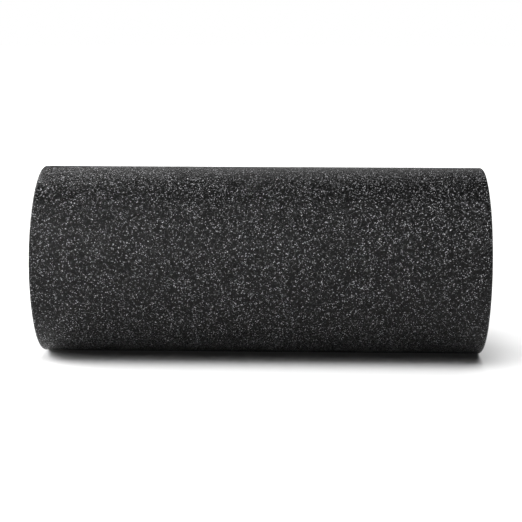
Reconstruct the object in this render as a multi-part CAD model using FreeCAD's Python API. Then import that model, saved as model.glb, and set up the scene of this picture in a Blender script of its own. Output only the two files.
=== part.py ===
import FreeCAD, Part
import math
import os

# Hollow-core foam roller, lying on its side with its axis along X and its centre at the origin.
# A sheet of EVA foam is wrapped round a rigid ABS tube and glued to it. The sheet's two edges meet
# in one glued butt joint along the roller. A moulded ring is pushed into each end of the tube: its
# flange covers the tube's cut edge and beds flush into the foam's end face. All lengths are in mm.

# The roller as a whole
ROLLER_LENGTH = 330.0
ROLLER_DIAMETER = 140.0

# Foam sleeve
EDGE_RADIUS = 2.0  # rounding between the rolling surface and the end faces
SEAM_ANGLE = -25.0  # degrees about X, from +Y towards +Z: low on the back of the roller
SEAM_GAP = 0.4  # thickness of the glue between the sheet's two butted edges
SEAM_GROOVE_WIDTH = 1.2  # the shallow V that the joint leaves in the rolling surface
SEAM_GROOVE_DEPTH = 0.6

# Core tube
CORE_DIAMETER = 112.0
CORE_WALL = 3.5
CORE_CHAMFER = 0.6  # on both rims of each cut end

# Adhesive film that bonds the foam to the core
FILM_THICKNESS = 0.3

# End rings
BORE_DIAMETER = 101.0  # clear way through both rings
FLANGE_DIAMETER = 116.0
FLANGE_THICKNESS = 2.0
FLANGE_CLEARANCE = 0.2  # radial gap between the flange and its bed in the foam
FLANGE_OUTER_RADIUS = 0.6
FLANGE_INNER_RADIUS = 1.2
SPIGOT_LENGTH = 14.0
SPIGOT_CLEARANCE = 0.1  # radial gap between the spigot and the tube, taken up by the ribs
SPIGOT_CHAMFER = 0.8
RIB_COUNT = 12
RIB_WIDTH = 1.6
RIB_LEAD_IN = 3.0  # the ribs start this far back from the spigot's free end

# Sizes that follow from those above
half_length = ROLLER_LENGTH / 2
foam_outer = ROLLER_DIAMETER / 2
core_outer = CORE_DIAMETER / 2
core_inner = core_outer - CORE_WALL
core_half = half_length - FLANGE_THICKNESS
foam_inner = core_outer + FILM_THICKNESS
bed_radius = FLANGE_DIAMETER / 2 + FLANGE_CLEARANCE
spigot_outer = core_inner - SPIGOT_CLEARANCE
spigot_end = core_half - SPIGOT_LENGTH

AXIS_START = FreeCAD.Vector(0, 0, 0)
AXIS = FreeCAD.Vector(1, 0, 0)


def turned(profile):
    """A solid turned about the roller's axis from (station along X, radius) corners."""
    corners = [FreeCAD.Vector(station, 0, radius) for station, radius in profile]
    outline = Part.makePolygon(corners + corners[:1])
    return Part.Face(outline).revolve(AXIS_START, AXIS, 360)


def sleeve(inner, outer, half):
    """A plain tube of the given radii, from -half to +half along X."""
    return turned([(-half, inner), (half, inner), (half, outer), (-half, outer)])


def rims(solid, radius, station):
    """The circular edges of a turned solid that have this radius, at this distance from its middle."""
    found = []
    for edge in solid.Edges:
        if not isinstance(edge.Curve, Part.Circle):
            continue
        same_radius = math.isclose(edge.Curve.Radius, radius, abs_tol=1e-6)
        same_station = math.isclose(abs(edge.Curve.Center.x), station, abs_tol=1e-6)
        if same_radius and same_station:
            found.append(edge)
    return found


def at_seam(shape):
    """Turns a shape built along +Y to the angle of the foam's joint."""
    shape.rotate(AXIS_START, AXIS, SEAM_ANGLE)
    return shape


def seam_slot():
    """The thin gap between the sheet's two edges, cut right through the foam and past both ends."""
    corner = FreeCAD.Vector(-ROLLER_LENGTH, 0, -SEAM_GAP / 2)
    return at_seam(Part.makeBox(2 * ROLLER_LENGTH, ROLLER_DIAMETER, SEAM_GAP, corner))


def seam_groove():
    """The shallow V along the joint, open to the rolling surface."""
    reach = foam_outer + SEAM_GROOVE_DEPTH  # the V is drawn to twice its depth, so that it cuts clear
    corners = [
        FreeCAD.Vector(-ROLLER_LENGTH, foam_outer - SEAM_GROOVE_DEPTH, 0),
        FreeCAD.Vector(-ROLLER_LENGTH, reach, SEAM_GROOVE_WIDTH),
        FreeCAD.Vector(-ROLLER_LENGTH, reach, -SEAM_GROOVE_WIDTH),
    ]
    outline = Part.makePolygon(corners + corners[:1])
    return at_seam(Part.Face(outline).extrude(AXIS * (2 * ROLLER_LENGTH)))


def wrapped_sheet():
    """The foam before its joint is cut: a thick sleeve with rounded ends and a bed for each flange."""
    body = sleeve(foam_inner, foam_outer, half_length)
    body = body.makeFillet(EDGE_RADIUS, rims(body, foam_outer, half_length))
    bed = sleeve(0, bed_radius, ROLLER_LENGTH).cut(sleeve(0, bed_radius, core_half))
    return body.cut(bed)


def foam_sleeve():
    """The foam sheet, wrapped, with its two edges a glue line apart."""
    return wrapped_sheet().cut(seam_groove()).cut(seam_slot())


def seam_glue():
    """The glue that fills the butt joint up to the bottom of the groove."""
    return wrapped_sheet().common(seam_slot()).cut(seam_groove())


def core_adhesive():
    """The film between the core tube and the foam, as long as the tube."""
    return sleeve(core_outer, foam_inner, core_half)


def core_tube():
    """The rigid tube, chamfered on the rims of its cut ends."""
    tube = sleeve(core_inner, core_outer, core_half)
    cut_rims = rims(tube, core_inner, core_half) + rims(tube, core_outer, core_half)
    return tube.makeChamfer(CORE_CHAMFER, cut_rims)


def crush_rib():
    """One low rib along the top of the right spigot, as high as the gap round it."""
    length = core_half - spigot_end - RIB_LEAD_IN
    corner = FreeCAD.Vector(core_half - length, -RIB_WIDTH / 2, spigot_outer - SPIGOT_CLEARANCE)
    block = Part.makeBox(length, RIB_WIDTH, 2 * CORE_WALL, corner)
    return block.common(sleeve(0, core_inner, half_length))


def right_end_ring():
    """The ring at +X: a flange over the tube's end and a ribbed spigot inside the tube."""
    bore = BORE_DIAMETER / 2
    flange = FLANGE_DIAMETER / 2
    ring = turned(
        [
            (spigot_end, bore),
            (half_length, bore),
            (half_length, flange),
            (core_half, flange),
            (core_half, spigot_outer),
            (spigot_end, spigot_outer),
        ]
    )
    ring = ring.makeFillet(FLANGE_OUTER_RADIUS, rims(ring, flange, half_length))
    ring = ring.makeFillet(FLANGE_INNER_RADIUS, rims(ring, bore, half_length))
    ring = ring.makeChamfer(SPIGOT_CHAMFER, rims(ring, spigot_outer, spigot_end))
    ribs = []
    for number in range(RIB_COUNT):
        rib = crush_rib()
        rib.rotate(AXIS_START, AXIS, number * 360 / RIB_COUNT)
        ribs.append(rib)
    return ring.fuse(ribs).removeSplitter()


def left_end_ring():
    """The ring at -X, a mirror image of the right one."""
    return right_end_ring().mirror(AXIS_START, AXIS)


os.makedirs("parts", exist_ok=True)

for sub_part in (foam_sleeve, seam_glue, core_adhesive, core_tube, left_end_ring, right_end_ring):
    sub_part().exportStep(f"parts/{sub_part.__name__}.step")
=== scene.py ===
"""The looks of a hollow-core foam roller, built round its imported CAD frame.

The foam sleeve is remodelled as a finely grained mesh, because it is the soft part. The tube, the end
rings and the adhesive keep their CAD shapes and get their finishes here. Lengths are in metres.
"""

import logging
import math
from dataclasses import dataclass
from enum import Enum

import bpy
import numpy as np
from mathutils import Matrix, Vector, noise


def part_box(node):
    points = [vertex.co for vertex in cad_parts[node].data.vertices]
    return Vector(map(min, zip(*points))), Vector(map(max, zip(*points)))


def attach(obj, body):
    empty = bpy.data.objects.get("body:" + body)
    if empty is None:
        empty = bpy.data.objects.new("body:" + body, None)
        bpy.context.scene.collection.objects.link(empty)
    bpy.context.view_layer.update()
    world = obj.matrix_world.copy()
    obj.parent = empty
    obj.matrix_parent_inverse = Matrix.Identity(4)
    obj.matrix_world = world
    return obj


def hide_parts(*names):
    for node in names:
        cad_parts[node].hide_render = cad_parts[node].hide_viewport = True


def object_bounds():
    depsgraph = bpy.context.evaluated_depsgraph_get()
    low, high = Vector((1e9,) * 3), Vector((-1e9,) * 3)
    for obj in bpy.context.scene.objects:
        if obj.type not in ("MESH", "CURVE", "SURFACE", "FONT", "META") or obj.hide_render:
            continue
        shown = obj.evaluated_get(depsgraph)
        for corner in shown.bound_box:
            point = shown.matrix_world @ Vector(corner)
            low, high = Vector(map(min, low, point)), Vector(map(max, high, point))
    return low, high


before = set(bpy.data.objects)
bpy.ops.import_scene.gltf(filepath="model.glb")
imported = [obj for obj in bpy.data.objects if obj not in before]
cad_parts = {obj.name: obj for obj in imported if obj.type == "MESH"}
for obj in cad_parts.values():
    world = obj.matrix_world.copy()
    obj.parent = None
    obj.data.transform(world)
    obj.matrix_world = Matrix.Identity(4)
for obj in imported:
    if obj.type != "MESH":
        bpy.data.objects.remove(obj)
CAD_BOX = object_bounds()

LOG = logging.getLogger("foam_roller")
BODY = "root"
MM = 0.001
WAVE_TURNS = 20.0 / (2.0 * math.pi)  # waves per metre of a Wave texture whose scale is 1


class Slot(Enum):
    """The material slots; each finish's name starts with one of these values."""

    FOAM = "eva_foam"
    GLUE = "contact_adhesive"
    TUBE = "extruded_abs"
    RING = "moulded_abs"


class Nodes:
    """A short way to add and join the nodes of one tree."""

    def __init__(self, tree: bpy.types.NodeTree) -> None:
        """Takes the tree to build in.

        Args:
            tree: the node tree of a material, a world or a group.
        """
        self.tree = tree

    def add(self, kind: str, **settings: object) -> bpy.types.Node:
        """Adds a node and sets it.

        Args:
            kind: the node's type name.
            settings: properties of the node, or values for its inputs by name with spaces as "_".

        Returns:
            The new node.
        """
        node = self.tree.nodes.new(kind)
        for name, value in settings.items():
            if hasattr(node, name):
                setattr(node, name, value)
            else:
                node.inputs[name.replace("_", " ")].default_value = value
        return node

    def join(self, start: bpy.types.NodeSocket, end: bpy.types.NodeSocket) -> None:
        """Joins an output to an input."""
        self.tree.links.new(start, end)

    def math(self, operation: str, *values: object) -> bpy.types.NodeSocket:
        """Adds a Math node.

        Args:
            operation: the operation's name.
            values: sockets or numbers, in the node's order.

        Returns:
            The node's output.
        """
        node = self.tree.nodes.new("ShaderNodeMath")
        node.operation = operation
        for socket, value in zip(node.inputs, values):
            if isinstance(value, (int, float)):
                socket.default_value = value
            else:
                self.join(value, socket)
        return node.outputs[0]

    def dot(self, first: bpy.types.NodeSocket, second: Vector) -> bpy.types.NodeSocket:
        """Adds a dot product.

        Args:
            first: a vector output.
            second: a fixed direction.

        Returns:
            How far the first reaches along the second.
        """
        node = self.add("ShaderNodeVectorMath", operation="DOT_PRODUCT")
        self.join(first, node.inputs[0])
        node.inputs[1].default_value = second
        return node.outputs["Value"]

    def group(self, group: bpy.types.NodeTree, **values: float) -> bpy.types.Node:
        """Places a node group with its own values.

        Args:
            group: the group's tree.
            values: values for its inputs by name with spaces as "_".

        Returns:
            The group node.
        """
        node = self.tree.nodes.new("ShaderNodeGroup")
        node.node_tree = group
        for name, value in values.items():
            node.inputs[name.replace("_", " ")].default_value = value
        return node


def new_group(
    name: str, inputs: dict[str, float], outputs: list[str]
) -> tuple[Nodes, bpy.types.Node, bpy.types.Node]:
    """Starts a shader node group.

    Args:
        name: the group's name.
        inputs: its float inputs, with their default values.
        outputs: its float outputs.

    Returns:
        The group's nodes, its input node and its output node.
    """
    tree = bpy.data.node_groups.new(name, "ShaderNodeTree")
    tree.interface.new_socket("Vector", in_out="INPUT", socket_type="NodeSocketVector")
    for label, value in inputs.items():
        socket = tree.interface.new_socket(label, in_out="INPUT", socket_type="NodeSocketFloat")
        socket.default_value = value
    for label in outputs:
        tree.interface.new_socket(label, in_out="OUTPUT", socket_type="NodeSocketFloat")
    nodes = Nodes(tree)
    return nodes, nodes.add("NodeGroupInput"), nodes.add("NodeGroupOutput")


def cell_grain() -> bpy.types.NodeTree:
    """The cut cells of a fine foam or the pits of a moulded skin.

    Returns:
        A group whose Tone is one random number per cell, whose Height is a dome over each cell, and
        whose Facet is a plane through each cell, tilted its own way.
    """
    sizes = {"Scale": 1000.0, "Tilt": 1.0}
    nodes, given, made = new_group("cell_grain", sizes, ["Tone", "Height", "Facet"])
    cells = nodes.add("ShaderNodeTexVoronoi", feature="F1", voronoi_dimensions="3D")
    nodes.join(given.outputs["Vector"], cells.inputs["Vector"])
    nodes.join(given.outputs["Scale"], cells.inputs["Scale"])
    parts = nodes.add("ShaderNodeSeparateColor")
    nodes.join(cells.outputs["Color"], parts.inputs["Color"])
    nodes.join(parts.outputs["Red"], made.inputs["Tone"])
    dome = nodes.math("SUBTRACT", 1.0, cells.outputs["Distance"])
    nodes.join(dome, made.inputs["Height"])
    away = nodes.add("ShaderNodeVectorMath", operation="SUBTRACT")
    nodes.join(given.outputs["Vector"], away.inputs[0])
    nodes.join(cells.outputs["Position"], away.inputs[1])
    lean = nodes.add("ShaderNodeVectorMath", operation="SUBTRACT")
    nodes.join(cells.outputs["Color"], lean.inputs[0])
    lean.inputs[1].default_value = (0.5, 0.5, 0.5)  # so that a cell leans either way
    along = nodes.add("ShaderNodeVectorMath", operation="DOT_PRODUCT")
    nodes.join(away.outputs["Vector"], along.inputs[0])
    nodes.join(lean.outputs["Vector"], along.inputs[1])
    tilted = nodes.math("MULTIPLY", along.outputs["Value"], given.outputs["Tilt"])
    nodes.join(tilted, made.inputs["Facet"])
    return nodes.tree


def mottle() -> bpy.types.NodeTree:
    """Slow, faint change over a surface, as in any cast, extruded or foamed stock.

    Returns:
        A group whose Value lies between 1 - Amount and 1 + Amount.
    """
    nodes, given, made = new_group("mottle", {"Scale": 20.0, "Amount": 0.1}, ["Value"])
    cloud = nodes.add("ShaderNodeTexNoise", noise_dimensions="3D", Detail=3.0, Roughness=0.55)
    nodes.join(given.outputs["Vector"], cloud.inputs["Vector"])
    nodes.join(given.outputs["Scale"], cloud.inputs["Scale"])
    spread = nodes.math("MULTIPLY_ADD", cloud.outputs["Fac"], 2.0, -1.0)
    scaled = nodes.math("MULTIPLY_ADD", spread, given.outputs["Amount"], 1.0)
    nodes.join(scaled, made.inputs["Value"])
    return nodes.tree


def rim_wear() -> bpy.types.NodeTree:
    """Rub marks along a round rim.

    Returns:
        A group whose Wear is highest on the circle at Station from the middle and Radius from the
        axis, and fades to 0 at Width from that circle, in patches.
    """
    sizes = {"Station": 0.1, "Radius": 0.05, "Width": 0.001, "Strength": 2.6, "Scale": 260.0}
    nodes, given, made = new_group("rim_wear", sizes, ["Wear"])
    parts = nodes.add("ShaderNodeSeparateXYZ")
    nodes.join(given.outputs["Vector"], parts.inputs["Vector"])
    station = nodes.math("ABSOLUTE", parts.outputs["X"])
    depth = nodes.math("MULTIPLY", parts.outputs["Y"], parts.outputs["Y"])
    squared = nodes.math("MULTIPLY_ADD", parts.outputs["Z"], parts.outputs["Z"], depth)
    along = nodes.math("SUBTRACT", station, given.outputs["Station"])
    across = nodes.math("SUBTRACT", nodes.math("SQRT", squared), given.outputs["Radius"])
    apart = nodes.math("MULTIPLY_ADD", along, along, nodes.math("MULTIPLY", across, across))
    away = nodes.math("DIVIDE", nodes.math("SQRT", apart), given.outputs["Width"])
    near = nodes.math("MAXIMUM", nodes.math("SUBTRACT", 1.0, away), 0.0)
    rubs = nodes.add("ShaderNodeTexNoise", noise_dimensions="3D", Detail=4.0, Roughness=0.7)
    nodes.join(given.outputs["Vector"], rubs.inputs["Vector"])
    nodes.join(given.outputs["Scale"], rubs.inputs["Scale"])
    patches = nodes.math("MULTIPLY", rubs.outputs["Fac"], given.outputs["Strength"])
    worn = nodes.math("MINIMUM", nodes.math("MULTIPLY", near, patches), 1.0)
    nodes.join(worn, made.inputs["Wear"])
    return nodes.tree


@dataclass(frozen=True)
class FoamFinish:
    """Dense black EVA foam with its cells cut open: matt, with pale cell specks painted into its colour
    as glints where a cell wall would catch light.
    """

    cells: bpy.types.NodeTree
    clouds: bpy.types.NodeTree
    seam_angle: float
    half_length: float
    slot: Slot = Slot.FOAM
    albedo: float = 0.03
    glint_tone_power: float = 25.0  # the higher it is, the fewer and paler the cells; the pale ones are painted glints standing in for cell walls that catch light
    blue: float = 1.04
    cloud_scale: float = 60.0
    cloud_amount: float = 0.15
    cell_size: float = 0.5 * MM
    tilt: float = 4.0
    roughness: float = 0.2
    specular: float = 0.15
    stain_reach: float = 1.9 * MM
    stain_darkening: float = 0.85
    stain_roughness: float = 0.3
    cut_pitch: float = 0.9 * MM
    cut_depth: float = 0.12 * MM
    cut_margin: float = 0.5 * MM  # how far from each end the knife rings reach

    def seam_mask(self, nodes: Nodes, place: bpy.types.NodeSocket) -> bpy.types.NodeSocket:
        """Where the foam is glue-stained beside its joint.

        Args:
            nodes: the material's nodes.
            place: the Object coordinates.

        Returns:
            A mask, 1 up to half the stain's reach from the joint and 0 from its full reach outwards.
        """
        out = Vector((0.0, math.cos(self.seam_angle), math.sin(self.seam_angle)))
        side = Vector((0.0, -out.z, out.y))
        reach, across = nodes.dot(place, out), nodes.dot(place, side)
        away = nodes.math("DIVIDE", nodes.math("ABSOLUTE", across), self.stain_reach)
        near = nodes.math("MAXIMUM", nodes.math("SUBTRACT", 1.0, away), 0.0)
        fade = nodes.math("MINIMUM", nodes.math("MULTIPLY", near, 2.0), 1.0)
        return nodes.math("MULTIPLY", fade, nodes.math("GREATER_THAN", reach, 0.0))

    def cut_lines(self, nodes: Nodes, place: bpy.types.NodeSocket) -> bpy.types.NodeSocket:
        """The rings that the knife leaves on the two trimmed ends.

        Args:
            nodes: the material's nodes.
            place: the Object coordinates.

        Returns:
            Their height in metres, 0 away from the ends.
        """
        rings = nodes.add("ShaderNodeTexWave", wave_type="RINGS", rings_direction="X")
        rings.inputs["Distortion"].default_value = 1.5
        rings.inputs["Detail"].default_value = 2.0
        rings.inputs["Scale"].default_value = 1.0 / (WAVE_TURNS * self.cut_pitch)
        nodes.join(place, rings.inputs["Vector"])
        parts = nodes.add("ShaderNodeSeparateXYZ")
        nodes.join(place, parts.inputs["Vector"])
        station = nodes.math("ABSOLUTE", parts.outputs["X"])
        on_end = nodes.math("GREATER_THAN", station, self.half_length - self.cut_margin)
        height = nodes.math("MULTIPLY", rings.outputs["Fac"], self.cut_depth)
        return nodes.math("MULTIPLY", height, on_end)

    def make(self) -> bpy.types.Material:
        """Builds the material.

        Returns:
            The new material.
        """
        material = bpy.data.materials.new(f"{self.slot.value}_finish")
        material.use_nodes = True
        nodes = Nodes(material.node_tree)
        shader = material.node_tree.nodes["Principled BSDF"]
        place = nodes.add("ShaderNodeTexCoord")
        cells = nodes.group(self.cells, Scale=1.0 / self.cell_size, Tilt=self.tilt)
        nodes.join(place.outputs["Object"], cells.inputs["Vector"])
        clouds = nodes.group(self.clouds, Scale=self.cloud_scale, Amount=self.cloud_amount)
        nodes.join(place.outputs["Object"], clouds.inputs["Vector"])
        stain = self.seam_mask(nodes, place.outputs["Object"])
        # Each cell's own random tone, skewed so that a few pale cells are painted glints standing in for
        # light off their walls.
        skewed_tone_and_glints = nodes.math("POWER", cells.outputs["Tone"], self.glint_tone_power)
        tone_and_painted_glints = nodes.math("MULTIPLY", skewed_tone_and_glints, self.glint_tone_power + 1.0)  # the mean over the cells is 1
        dulling = nodes.math("MULTIPLY_ADD", stain, -self.stain_darkening, 1.0)
        dulled = nodes.math("MULTIPLY", tone_and_painted_glints, dulling)
        clouded = nodes.math("MULTIPLY", dulled, clouds.outputs["Value"])
        value = nodes.math("MULTIPLY", clouded, self.albedo)
        colour = nodes.add("ShaderNodeCombineColor")
        nodes.join(value, colour.inputs["Red"])
        nodes.join(value, colour.inputs["Green"])
        nodes.join(nodes.math("MULTIPLY", value, self.blue), colour.inputs["Blue"])
        nodes.join(colour.outputs["Color"], shader.inputs["Base Color"])
        rough = nodes.math("MULTIPLY_ADD", stain, self.stain_roughness, self.roughness)
        nodes.join(rough, shader.inputs["Roughness"])
        shader.inputs["Specular IOR Level"].default_value = self.specular
        bump = nodes.add("ShaderNodeBump", Strength=1.0, Distance=1.0)
        cuts = self.cut_lines(nodes, place.outputs["Object"])
        relief = nodes.math("ADD", cells.outputs["Facet"], cuts)
        nodes.join(relief, bump.inputs["Height"])
        nodes.join(bump.outputs["Normal"], shader.inputs["Normal"])
        return material


@dataclass(frozen=True)
class HardFinish:
    """A hard black finish: extruded plastic, moulded plastic or set glue."""

    cells: bpy.types.NodeTree
    clouds: bpy.types.NodeTree
    wear: bpy.types.NodeTree
    slot: Slot
    albedo: float
    roughness: float
    specular: float
    grain_size: float
    grain_depth: float
    stretch: float = 1.0
    rims: tuple[tuple[float, float], ...] = ()
    cloud_scale: float = 40.0
    cloud_amount: float = 0.2
    speckle: float = 0.5
    bump_strength: float = 0.5
    worn_width: float = 1.6 * MM
    worn_albedo: float = 0.06
    worn_polish: float = 0.15

    def worn(self, nodes: Nodes, place: bpy.types.NodeSocket) -> bpy.types.NodeSocket:
        """The rub marks on all of the rims.

        Args:
            nodes: the material's nodes.
            place: the Object coordinates.

        Returns:
            A mask, 1 where a rim is rubbed bare and 0 where nothing is rubbed.
        """
        total = nodes.add("ShaderNodeValue").outputs[0]
        total.default_value = 0.0
        for station, radius in self.rims:
            mark = nodes.group(self.wear, Station=station, Radius=radius, Width=self.worn_width)
            nodes.join(place, mark.inputs["Vector"])
            total = nodes.math("MAXIMUM", total, mark.outputs["Wear"])
        return total

    def make(self) -> bpy.types.Material:
        """Builds the material.

        Returns:
            The new material.
        """
        material = bpy.data.materials.new(f"{self.slot.value}_finish")
        material.use_nodes = True
        nodes = Nodes(material.node_tree)
        shader = material.node_tree.nodes["Principled BSDF"]
        place = nodes.add("ShaderNodeTexCoord")
        drawn = nodes.add("ShaderNodeMapping")
        drawn.inputs["Scale"].default_value = (1.0 / self.stretch, 1.0, 1.0)
        nodes.join(place.outputs["Object"], drawn.inputs["Vector"])
        cells = nodes.group(self.cells, Scale=1.0 / self.grain_size)
        nodes.join(drawn.outputs["Vector"], cells.inputs["Vector"])
        clouds = nodes.group(self.clouds, Scale=self.cloud_scale, Amount=self.cloud_amount)
        nodes.join(drawn.outputs["Vector"], clouds.inputs["Vector"])
        darkest = 1.0 - self.speckle / 2
        speckled = nodes.math("MULTIPLY_ADD", cells.outputs["Tone"], self.speckle, darkest)
        clouded = nodes.math("MULTIPLY", clouds.outputs["Value"], speckled)
        plain = nodes.math("MULTIPLY", clouded, self.albedo)
        worn = self.worn(nodes, place.outputs["Object"])
        value = nodes.math("MULTIPLY_ADD", worn, self.worn_albedo, plain)
        colour = nodes.add("ShaderNodeCombineColor")
        for channel in ("Red", "Green", "Blue"):
            nodes.join(value, colour.inputs[channel])
        nodes.join(colour.outputs["Color"], shader.inputs["Base Color"])
        rough = nodes.math("MULTIPLY", clouds.outputs["Value"], self.roughness)
        polished = nodes.math("MULTIPLY_ADD", worn, -self.worn_polish, rough)
        nodes.join(polished, shader.inputs["Roughness"])
        shader.inputs["Specular IOR Level"].default_value = self.specular
        bump = nodes.add("ShaderNodeBump", Strength=self.bump_strength, Distance=self.grain_depth)
        nodes.join(cells.outputs["Height"], bump.inputs["Height"])
        nodes.join(bump.outputs["Normal"], shader.inputs["Normal"])
        return material


@dataclass
class FoamSleeve:
    """The foam sheet wrapped round the core, with its butt joint and its rounded ends."""

    outer: float
    inner: float
    half_length: float
    bed_radius: float
    bed_depth: float
    seam_angle: float
    seam_gap: float = 0.4 * MM
    groove_width: float = 1.2 * MM
    groove_depth: float = 0.6 * MM
    groove_slope: float = 0.4 * MM  # from the joint to a row of points on the groove's side
    groove_surround: float = 1.0 * MM  # from the joint to where the even steps begin
    edge_radius: float = 2.0 * MM
    length_steps: int = 300
    turn_steps: int = 280
    edge_steps: int = 5
    face_steps: int = 9
    slow_scale: float = 28.0
    slow_depth: float = 0.10 * MM
    fine_scale: float = 330.0
    fine_depth: float = 0.05 * MM
    smooth_angle: float = math.radians(40.0)

    def outline(self) -> np.ndarray:
        """The section of the foam, once round.

        Returns:
            Rows of (station along X, radius, normal along X, normal along the radius, grain).
        """
        rows: list[tuple[float, float, float, float, float]] = []
        flat_end = self.outer - self.edge_radius
        centre = self.half_length - self.edge_radius
        for x in np.linspace(-centre, centre, self.length_steps + 1):
            rows.append((x, self.outer, 0.0, 1.0, 1.0))
        for step in range(1, self.edge_steps + 1):
            turn = 0.5 * math.pi * step / self.edge_steps
            along, out = math.sin(turn), math.cos(turn)
            station = centre + self.edge_radius * along
            rows.append((station, flat_end + self.edge_radius * out, along, out, 1.0))
        for radius in np.linspace(flat_end, self.bed_radius, self.face_steps + 1)[1:]:
            rows.append((self.half_length, radius, 1.0, 0.0, 1.0))
        bed = self.half_length - self.bed_depth
        rows.append((bed, self.bed_radius, 1.0, 0.0, 0.0))
        rows.append((bed, self.inner, 1.0, 0.0, 0.0))
        half = np.array(rows)
        middle = half[: self.length_steps + 1]
        right = half[self.length_steps + 1 :]
        left = right[::-1] * np.array([-1.0, 1.0, -1.0, 1.0, 1.0])
        return np.concatenate([left, middle, right])

    def girth(self) -> float:
        """The way once round the rolling surface."""
        return 2.0 * math.pi * self.outer

    def turns(self) -> np.ndarray:
        """Where the section is repeated round the roller.

        Returns:
            Distances round the rolling surface from one butted edge to the other, measured from the
            middle of the joint, closer together in the groove.
        """
        whole = self.girth()
        near = [self.seam_gap / 2, self.groove_slope, self.groove_width / 2, self.groove_surround]
        far = np.linspace(near[-1], whole - near[-1], self.turn_steps + 1)[1:-1]
        return np.concatenate([near, far, [whole - x for x in reversed(near)]])

    def relief(self, point: Vector) -> float:
        """How far the foam's surface stands out at a point, in metres.

        Args:
            point: a point on the even surface.

        Returns:
            The sum of the sheet's slow unevenness and its grain.
        """
        slow = noise.noise(point * self.slow_scale)
        fine = noise.noise(point * self.fine_scale)
        return self.slow_depth * slow + self.fine_depth * fine

    def points(self, section: list[list[float]], turns: list[float]) -> list[tuple[float, ...]]:
        """Carries the section round the roller.

        Args:
            section: the rows of the outline.
            turns: the distances round the rolling surface at which it is repeated.

        Returns:
            The points, one section after another, lifted by the relief and sunk in the groove.
        """
        points = []
        for distance in turns:
            angle = self.seam_angle + distance / self.outer
            out = Vector((0.0, math.cos(angle), math.sin(angle)))
            from_seam = min(distance, self.girth() - distance)
            sunk = self.groove_depth * max(0.0, 1.0 - from_seam / (self.groove_width / 2))
            for x, radius, normal_x, normal_out, grain in section:
                point = Vector((x, 0.0, 0.0)) + radius * out
                normal = Vector((normal_x, 0.0, 0.0)) + normal_out * out
                lift = grain * (self.relief(point) - sunk * normal_out)
                points.append(tuple(point + lift * normal))
        return points

    def faces(self, size: int, count: int) -> list[tuple[int, ...]]:
        """Joins neighbouring sections, and closes the first and last as the two butted edges.

        Args:
            size: how many points a section has.
            count: how many sections there are.

        Returns:
            The faces, as numbers of points.
        """
        faces = []
        for turn in range(count - 1):
            here, there = turn * size, (turn + 1) * size
            for step in range(size):
                following = (step + 1) % size
                faces.append((here + step, there + step, there + following, here + following))
        last = (count - 1) * size
        faces.append(tuple(range(size)))
        faces.append(tuple(last + step for step in reversed(range(size))))
        return faces

    def build(self) -> bpy.types.Object:
        """Makes the sleeve's mesh.

        Returns:
            The new object, at the origin, with its place in its mesh.
        """
        section = self.outline().tolist()
        turns = self.turns().tolist()
        mesh = bpy.data.meshes.new("foam_sleeve_grained")
        mesh.from_pydata(self.points(section, turns), [], self.faces(len(section), len(turns)))
        mesh.validate()
        piece = bpy.data.objects.new("foam_sleeve_grained", mesh)
        bpy.context.scene.collection.objects.link(piece)
        select_only(piece)
        bpy.ops.object.mode_set(mode="EDIT")
        bpy.ops.mesh.select_all(action="SELECT")
        bpy.ops.mesh.normals_make_consistent(inside=False)
        bpy.ops.object.mode_set(mode="OBJECT")
        bpy.ops.object.shade_smooth_by_angle(angle=self.smooth_angle)
        return piece


def select_only(piece: bpy.types.Object) -> None:
    """Selects one object, deselects all others, and makes it the active one.

    Args:
        piece: the object.
    """
    bpy.ops.object.select_all(action="DESELECT")
    piece.select_set(True)
    bpy.context.view_layer.objects.active = piece


def dress(piece: bpy.types.Object, material: bpy.types.Material) -> None:
    """Gives a piece one material in its first slot.

    Args:
        piece: the piece.
        material: its finish.
    """
    if piece.material_slots:
        piece.material_slots[0].material = material
    else:
        piece.data.materials.append(material)


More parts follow.
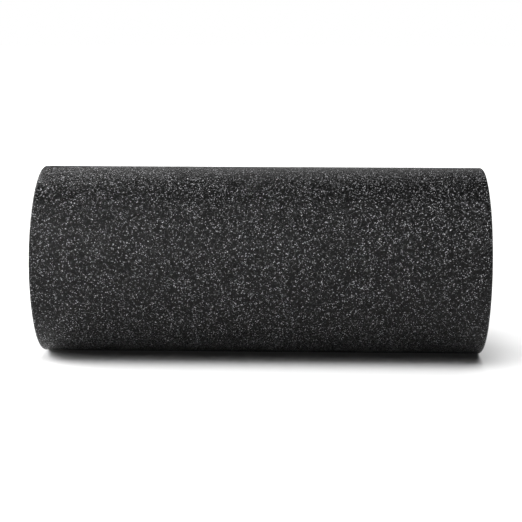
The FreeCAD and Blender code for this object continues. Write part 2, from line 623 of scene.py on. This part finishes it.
@dataclass
class Roller:
    """The whole roller: the foam sleeve made here and the CAD nodes it goes round."""

    bore: float = 50.5 * MM  # radius of an end ring's inner rim
    flange: float = 58.0 * MM  # radius of its outer rim
    bed_clearance: float = 0.2 * MM

    def sleeve(self) -> FoamSleeve:
        """Sizes the foam sleeve.

        Returns:
            A sleeve that fits the boxes of the CAD nodes.
        """
        _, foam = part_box("foam_sleeve")
        _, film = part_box("core_adhesive")
        _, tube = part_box("core_tube")
        _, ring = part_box("right_end_ring")
        low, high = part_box("seam_glue")
        seam = (low + high) / 2
        return FoamSleeve(
            outer=foam.z,
            inner=film.z,
            half_length=foam.x,
            bed_radius=ring.z + self.bed_clearance,
            bed_depth=foam.x - tube.x,
            seam_angle=math.atan2(seam.z, seam.y),
        )

    def foam(self, sleeve: FoamSleeve) -> bpy.types.Object:
        """Builds the foam sleeve and puts it in the CAD solid's place.

        Args:
            sleeve: the sized sleeve.

        Returns:
            The sleeve's object.
        """
        piece = sleeve.build()
        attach(piece, BODY)
        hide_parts("foam_sleeve")
        return piece

    def finish(self) -> None:
        """Builds every finish and gives it to its pieces."""
        cells, clouds, wear = cell_grain(), mottle(), rim_wear()
        sleeve = self.sleeve()
        foam = self.foam(sleeve)
        dress(foam, FoamFinish(cells, clouds, sleeve.seam_angle, sleeve.half_length).make())
        LOG.info("built and dressed %s", foam.name)
        tube = HardFinish(
            cells,
            clouds,
            wear,
            Slot.TUBE,
            albedo=0.028,
            roughness=0.62,
            specular=0.25,
            grain_size=0.8 * MM,
            grain_depth=0.05 * MM,
            stretch=14.0,
        ).make()
        ring = HardFinish(
            cells,
            clouds,
            wear,
            Slot.RING,
            albedo=0.02,
            roughness=0.6,
            specular=0.25,
            grain_size=0.8 * MM,
            grain_depth=0.15 * MM,
            rims=((sleeve.half_length, self.bore), (sleeve.half_length, self.flange)),
        ).make()
        glue = HardFinish(
            cells,
            clouds,
            wear,
            Slot.GLUE,
            albedo=0.012,
            roughness=0.25,
            specular=0.5,
            grain_size=1.5 * MM,
            grain_depth=0.1 * MM,
        ).make()
        for node, material in {
            "core_tube": tube,
            "left_end_ring": ring,
            "right_end_ring": ring,
            "core_adhesive": glue,
            "seam_glue": glue,
        }.items():
            dress(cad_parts[node], material)
            LOG.info("dressed %s", node)


@dataclass(frozen=True)
class Softbox:
    """One round softbox, placed by its direction from the roller."""

    name: str
    azimuth: float
    elevation: float
    watts: float

    def place(self, distance: float) -> Vector:
        """Where it stands.

        Args:
            distance: how far from the roller's centre.

        Returns:
            Its centre. Azimuth 0 is the front, 90 is the right, and both angles are in degrees.
        """
        turn, rise = math.radians(self.azimuth), math.radians(self.elevation)
        level = math.cos(rise)
        return distance * Vector((math.sin(turn) * level, -math.cos(turn) * level, math.sin(rise)))


@dataclass
class Studio:
    """A white floor that runs into a white backdrop, soft lights and the camera."""

    floor_level: float
    light_distance: float = 1.3
    light_size: float = 0.8
    floor_radius: float = 6.0
    floor_sides: int = 96
    floor_albedo: float = 0.86
    floor_roughness: float = 0.9
    glow_start: float = 0.5
    glow_full: float = 1.6
    near_shadow_glow: float = 0.007
    sensor: float = 36.0
    distance: float = 1.049
    aside: float = 26.0 * MM
    lens: float = 95.3
    elevation: float = math.radians(11.0)
    roll: float = 0.0022
    aim_left: float = 0.9 * MM
    aim_below: float = 1.4 * MM
    softboxes: tuple[Softbox, ...] = (
        Softbox("front_top_light", 0.0, 65.0, 15.5),
        Softbox("back_top_light", 180.0, 65.0, 5.6),
        Softbox("right_top_light", 90.0, 65.0, 4.7),
        Softbox("front_left_light", -45.0, 40.0, 4.4),
        Softbox("left_top_light", -90.0, 40.0, 9.5),
        Softbox("left_light", -90.0, 15.0, 8.2),
        Softbox("left_back_light", -135.0, 15.0, 8.8),
        Softbox("back_light", 180.0, 15.0, 0.7),
    )

    def floor(self) -> None:
        """A wide, matt, pale floor with a painted glow: faint near the roller, where it lifts the shadow,
        and as white as the backdrop a good way off.
        """
        bpy.ops.mesh.primitive_circle_add(
            vertices=self.floor_sides,
            radius=self.floor_radius,
            fill_type="NGON",
            location=(0.0, 0.0, self.floor_level),
        )
        plane = bpy.context.object
        plane.name = "floor"
        material = bpy.data.materials.new("pale_floor")
        material.use_nodes = True
        nodes = Nodes(material.node_tree)
        shader = material.node_tree.nodes["Principled BSDF"]
        pale = self.floor_albedo
        shader.inputs["Base Color"].default_value = (pale, pale, pale, 1.0)
        shader.inputs["Roughness"].default_value = self.floor_roughness
        shader.inputs["Specular IOR Level"].default_value = 0.0
        shader.inputs["Emission Color"].default_value = (1.0, 1.0, 1.0, 1.0)
        place = nodes.add("ShaderNodeTexCoord")
        reach = nodes.add("ShaderNodeVectorMath", operation="LENGTH")
        nodes.join(place.outputs["Object"], reach.inputs[0])
        # Painted light: the floor glows faintly near the roller so that its shadow there is lifted, and
        # fully white far off.
        glow = nodes.add("ShaderNodeMapRange", interpolation_type="SMOOTHSTEP")
        glow.inputs["From Min"].default_value = self.glow_start
        glow.inputs["From Max"].default_value = self.glow_full
        glow.inputs["To Min"].default_value = self.near_shadow_glow
        nodes.join(reach.outputs["Value"], glow.inputs["Value"])
        nodes.join(glow.outputs["Result"], shader.inputs["Emission Strength"])
        dress(plane, material)

    def light(self, box: Softbox) -> None:
        """Adds one softbox, aimed at the roller.

        Args:
            box: the softbox.
        """
        place = box.place(self.light_distance)
        bpy.ops.object.light_add(type="AREA", location=place)
        lamp = bpy.context.object
        lamp.name = box.name
        lamp.data.shape = "DISK"
        lamp.data.size = self.light_size
        lamp.data.energy = box.watts
        lamp.rotation_euler = (-place).to_track_quat("-Z", "Y").to_euler()

    def backdrop(self) -> None:
        """A white world that is seen, but leaves the lighting to the softboxes."""
        world = bpy.data.worlds.new("white_backdrop")
        world.use_nodes = True
        nodes = Nodes(world.node_tree)
        backdrop = world.node_tree.nodes["Background"]
        backdrop.inputs["Color"].default_value = (1.0, 1.0, 1.0, 1.0)
        path = nodes.add("ShaderNodeLightPath")
        nodes.join(path.outputs["Is Camera Ray"], backdrop.inputs["Strength"])
        bpy.context.scene.world = world

    def camera(self) -> None:
        """The camera, a little above the roller and a little to the right of its middle."""
        away = Vector((0.0, -math.cos(self.elevation), math.sin(self.elevation)))
        place = away * self.distance + Vector((self.aside, 0.0, 0.0))
        up = Vector((0.0, math.sin(self.elevation), math.cos(self.elevation)))
        aim = -self.aim_below * up - Vector((self.aim_left, 0.0, 0.0))
        bpy.ops.object.camera_add(location=place)
        camera = bpy.context.object
        camera.data.lens = self.lens
        camera.data.sensor_width = self.sensor
        turn = (aim - place).to_track_quat("-Z", "Y").to_matrix().to_4x4()
        camera.matrix_world = Matrix.Translation(place) @ turn @ Matrix.Rotation(self.roll, 4, "Z")
        bpy.context.scene.camera = camera

    def build(self) -> None:
        """Sets up the whole studio."""
        self.floor()
        self.backdrop()
        for box in self.softboxes:
            self.light(box)
        self.camera()
        bpy.context.scene.view_settings.view_transform = "Standard"


def main() -> None:
    """Builds the roller and the studio round it."""
    logging.basicConfig(level=logging.INFO, format="%(name)s: %(message)s")
    Roller().finish()
    Studio(floor_level=CAD_BOX[0].z).build()


if __name__ == "__main__":
    main()
